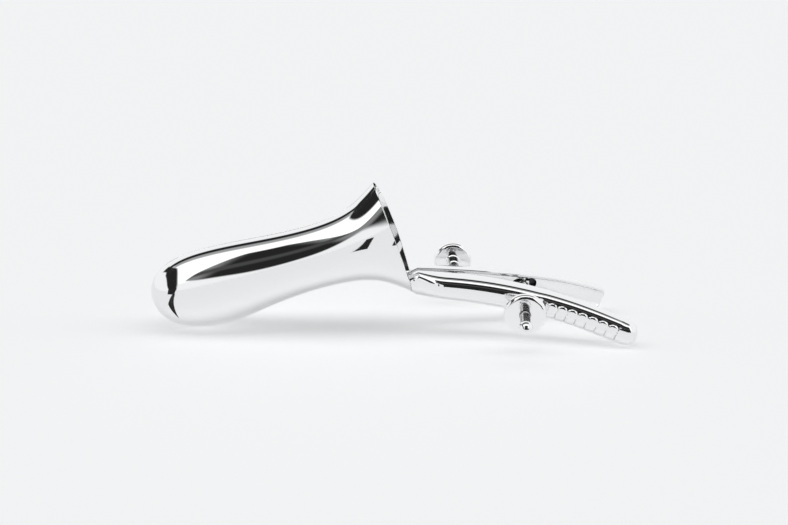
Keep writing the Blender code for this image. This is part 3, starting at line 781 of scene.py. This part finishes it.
def make_screw(name, place, body):
    """Stem with a fine thread between the nut's travel ends, and the eye round its pin."""
    shoulder = SCREW_LENGTH - STOP_SEAT - PIN_GAP
    profile = [(0, shoulder + SHOULDER_RISE), (STEM_RADIUS, shoulder)]
    height = shoulder - THREAD_END_GAP
    while height > THREAD_START:
        profile += [(STEM_RADIUS, height), (STEM_RADIUS - THREAD_DEPTH, height - THREAD_PITCH / 2)]
        height -= THREAD_PITCH
    profile += [(STEM_RADIUS, height), (STEM_RADIUS, 0.0), (0, 0.0)]
    stem = lathe(name + "_stem", profile, place, drawn, body, THREAD_SHARP)
    bore = PIN_RADIUS + PIN_GAP
    half = EYE_WIDTH / 2
    ring = [(bore, half), (EYE_RADIUS - EYE_EDGE, half), (EYE_RADIUS, half - EYE_EDGE)]
    ring += [(radius, -height) for radius, height in ring[::-1]]
    across = place @ Matrix.Rotation(math.pi / 2, 4, "Y")
    eye = lathe(name + "_eye", ring, across, drawn, body)
    cut(stem, [rod("hole", bore, 4 * EYE_WIDTH, across @ Matrix.Translation((0, 0, -2 * EYE_WIDTH)))])
    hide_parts(name)
    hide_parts(name)


def make_stop(name, place, body):
    seat = math.degrees(math.acos(-STOP_SEAT / STOP_RADIUS))
    profile = arc(0, 0, STOP_RADIUS, 0, seat, BALL_STEPS) + [(0, -STOP_SEAT)]
    ball = lathe(name + "_ball", profile, place, bright, body)
    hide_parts(name)


def dress_pin(name):
    """A pin keeps its CAD mesh, which hardly shows, in satin metal."""
    mesh = nodes[name].data
    mesh.materials.clear()
    mesh.materials.append(satin)
    mesh.shade_smooth()
    mesh.set_sharp_from_angle(angle=GRIP_SHARP)


for prefix, pin, direction, nut_at in (
    ("spread", SPREAD_PIN, SPREAD_DIRECTION, SPREAD_NUT_AT),
    ("handle", HANDLE_PIN, HANDLE_DIRECTION, HANDLE_NUT_AT),
):
    axis = along_matrix(pin, direction)
    body = prefix + "_screw_side"
    make_nut(prefix + "_nut", axis @ Matrix.Translation((0, 0, nut_at)), prefix + "_nut_side")
    make_screw(prefix + "_screw", axis, body)
    make_stop(prefix + "_screw_stop", axis @ Matrix.Translation((0, 0, SCREW_LENGTH)), body)
    dress_pin(prefix + "_screw_pin")

# Stage: a pale floor that glows a little, so that its shadows stay light, three dark flags that stand in
# front of the object and a dark ribbon on the floor. Only the metal's reflections show flags and ribbon.

ROOM_TINT = (0.99, 0.995, 1.0)
FLOOR = (0.80, 0.805, 0.81)
FLOOR_GLOW = 0.47
FLOOR_HALF = 6.0
CARD = (0.01, 0.01, 0.01)
STAGE_ROUGHNESS = 0.9
FLAG_Y = -0.15
FLAG_HEIGHT = 0.04
FLAGS = ((-0.24, -0.185), (-0.046, -0.034), (0.0, 0.16))  # from and to, along the object
RIBBON = ((-0.205, -0.162), (-0.189, -0.162), (-0.098, -0.013), (-0.119, -0.031))
RIBBON_Z = 0.0003


def stage_material(name, colour):
    material = bpy.data.materials.new(name)
    material.use_nodes = True
    shader = material.node_tree.nodes["Principled BSDF"]
    shader.inputs["Base Color"].default_value = (*colour, 1)
    shader.inputs["Roughness"].default_value = STAGE_ROUGHNESS
    return material, shader


def stage_plane(name, corners, material):
    mesh = bpy.data.meshes.new(name)
    mesh.from_pydata(corners, [], [(0, 1, 2, 3)])
    plane = new_object(name, mesh, material)
    return plane


floor_material, floor_shader = stage_material("floor", FLOOR)
floor_shader.inputs["Specular IOR Level"].default_value = 0.0
floor_shader.inputs["Emission Color"].default_value = (*ROOM_TINT, 1)
floor_shader.inputs["Emission Strength"].default_value = FLOOR_GLOW
corner_signs = ((-1, -1), (1, -1), (1, 1), (-1, 1))
stage_plane("floor", [(x * FLOOR_HALF, y * FLOOR_HALF, 0) for x, y in corner_signs], floor_material)

card_material = stage_material("flag", CARD)[0]
cards = [[(x, y, RIBBON_Z) for x, y in RIBBON]]
for start, stop in FLAGS:
    upright = ((start, 0), (stop, 0), (stop, FLAG_HEIGHT), (start, FLAG_HEIGHT))
    cards.append([(x, FLAG_Y, z) for x, z in upright])
for corners in cards:
    card = stage_plane("flag", corners, card_material)
    card.visible_camera = False
    card.visible_diffuse = False
    card.visible_shadow = False

# World: what the metal mirrors is a pale room with a white softbox overhead, a grey and a dark strip
# behind it, a dark opening behind the camera and a dark edge at the left. The floor's light comes from a
# band overhead. Directions are in degrees: turn is 0 at the front horizon, 90 overhead and 180 at the
# back, and aside is minus to the left and plus to the right. A range is (from, to, half of its soft edge).

PALE = 1.0
DARK = 0.02
PATCHES = (  # level, turns and asides
    (1.3, (15, 90, 2), (-49, 34, 2)),  # softbox
    (0.38, (84, 118, 5), (-50, 34, 3)),  # grey strip
    (DARK, (101, 122, 3), (-54, 34, 4)),  # dark strip
)
OPENING_LOW_EDGE = (-0.75, -4.8)  # turn by aside: slope and start
OPENING_LOWEST = -2.0
OPENING_LOW_SOFT = 1.5
OPENING_HIGH_EDGE = (5.0, 167.0)
OPENING_HIGHEST = 57.0
OPENING_HIGH_SOFT = 2
OPENING_ASIDES = (-32, 24, 1.5)
OPENING_GREY = 0.25  # at its left side
OPENING_GREY_END = (-23, 2.5)
OPENING_SHEEN = 0.07  # a faint band across it
OPENING_SHEEN_TURNS = (22, 31, 3)
EDGE_START = 38.0  # degrees to the left at the front horizon
EDGE_SLOPE = 0.32
EDGE_BEND = -0.00145
EDGE_HALF_WIDTH = 4.6
EDGE_WIDENING = 3.2
EDGE_WIDE_TURNS = (6, 84, 14)
EDGE_SOFT = 1.2
EDGE_TURNS = (-22, 132, 5)
FLOOR_BAND = (76, 104, 4)
FLOOR_BAND_LEVEL = 2.00
FLOOR_AROUND = 0.06
BACKDROP = 0.89

world = bpy.data.worlds.new("studio")
bpy.context.scene.world = world
world.use_nodes = True
room = world.node_tree
room.nodes.clear()


def feed(value, socket):
    """Puts a number on a socket, or links another node's output to it."""
    if isinstance(value, (int, float)):
        socket.default_value = value
    else:
        room.links.new(value, socket)


def math_node(operation, *values):
    node = room.nodes.new("ShaderNodeMath")
    node.operation = operation
    for value, socket in zip(values, node.inputs):
        feed(value, socket)
    return node.outputs[0]


def mixed(base, top, mask):
    node = room.nodes.new("ShaderNodeMix")
    for name, value in (("Factor", mask), ("A", base), ("B", top)):
        feed(value, node.inputs[name])
    return node.outputs["Result"]


def rising(value, at, soft):
    """0 below at, 1 above it, over a width of 2 * soft."""
    node = room.nodes.new("ShaderNodeMapRange")
    node.interpolation_type = "SMOOTHSTEP"
    node.inputs["From Min"].default_value = at - soft
    node.inputs["From Max"].default_value = at + soft
    feed(value, node.inputs["Value"])
    return node.outputs["Result"]


def inside(value, low, high, soft):
    return math_node("SUBTRACT", rising(value, low, soft), rising(value, high, soft))


def times(first, second):
    return math_node("MULTIPLY", first, second)


def straight(value, slope, start):
    """start + slope * value"""
    return math_node("ADD", times(value, slope), start)


def with_opening(level):
    """The dark opening behind the camera. Its lower edge rises to the left, and its left side is grey."""
    low_edge = math_node("MAXIMUM", straight(aside, *OPENING_LOW_EDGE), OPENING_LOWEST)
    high_edge = math_node("MINIMUM", straight(aside, *OPENING_HIGH_EDGE), OPENING_HIGHEST)
    above = rising(math_node("SUBTRACT", turn, low_edge), 0, OPENING_LOW_SOFT)
    below = rising(math_node("SUBTRACT", high_edge, turn), 0, OPENING_HIGH_SOFT)
    tone = mixed(OPENING_GREY, DARK, rising(aside, *OPENING_GREY_END))
    tone = mixed(tone, OPENING_SHEEN, inside(turn, *OPENING_SHEEN_TURNS))
    return mixed(level, tone, times(times(above, below), inside(aside, *OPENING_ASIDES)))


def with_left_edge(level):
    """The dark edge at the left. It bends from the front horizon up and over, widest low down."""
    middle = math_node("ADD", straight(turn, EDGE_SLOPE, EDGE_START), times(times(turn, turn), EDGE_BEND))
    off_middle = math_node("ABSOLUTE", math_node("ADD", middle, aside))
    half_width = straight(inside(turn, *EDGE_WIDE_TURNS), EDGE_WIDENING, EDGE_HALF_WIDTH)
    beyond = rising(math_node("SUBTRACT", off_middle, half_width), 0, EDGE_SOFT)
    return mixed(level, DARK, times(math_node("SUBTRACT", 1.0, beyond), inside(turn, *EDGE_TURNS)))


place = room.nodes.new("ShaderNodeTexCoord")
parts = room.nodes.new("ShaderNodeSeparateXYZ")
room.links.new(place.outputs["Generated"], parts.inputs[0])
dx, dy, dz = parts.outputs
turn = times(math_node("ARCTAN2", dz, times(dy, -1.0)), math.degrees(1))
aside = times(math_node("ARCSINE", dx), math.degrees(1))

room_level = PALE
for patch_level, turns, asides in PATCHES:
    room_level = mixed(room_level, patch_level, times(inside(turn, *turns), inside(aside, *asides)))
room_level = with_left_edge(with_opening(room_level))

# metal mirrors the room, the floor gets the band's light and the camera sees an even backdrop
path = room.nodes.new("ShaderNodeLightPath")
mirrored = math_node("SUBTRACT", path.outputs["Is Glossy Ray"], path.outputs["Diffuse Depth"])
mirrored = math_node("MAXIMUM", mirrored, 0.0)
strength = mixed(FLOOR_AROUND, FLOOR_BAND_LEVEL, inside(turn, *FLOOR_BAND))
strength = mixed(strength, room_level, mirrored)
strength = mixed(strength, BACKDROP, path.outputs["Is Camera Ray"])
background = room.nodes.new("ShaderNodeBackground")
background.inputs["Color"].default_value = (*ROOM_TINT, 1)
room.links.new(strength, background.inputs["Strength"])
world_out = room.nodes.new("ShaderNodeOutputWorld")
room.links.new(background.outputs[0], world_out.inputs[0])

# Camera: the photograph's own view

DISTANCE = 0.385
FOCAL_PIXELS = 858
IMAGE_WIDTH = 788
ELEVATION = math.radians(20)
SENSOR = 36  # millimetres wide
CLIP = (0.01, 100)

camera = bpy.data.cameras.new("camera")
camera.sensor_width = SENSOR
camera.lens = FOCAL_PIXELS / IMAGE_WIDTH * SENSOR
camera.clip_start, camera.clip_end = CLIP
camera_object = bpy.data.objects.new("camera", camera)
bpy.context.scene.collection.objects.link(camera_object)
camera_object.location = SHIFT + DISTANCE * Vector((0, -math.cos(ELEVATION), math.sin(ELEVATION)))
camera_object.rotation_euler = (math.pi / 2 - ELEVATION, 0, 0)
bpy.context.scene.camera = camera_object
bpy.context.scene.view_settings.view_transform = "Standard"
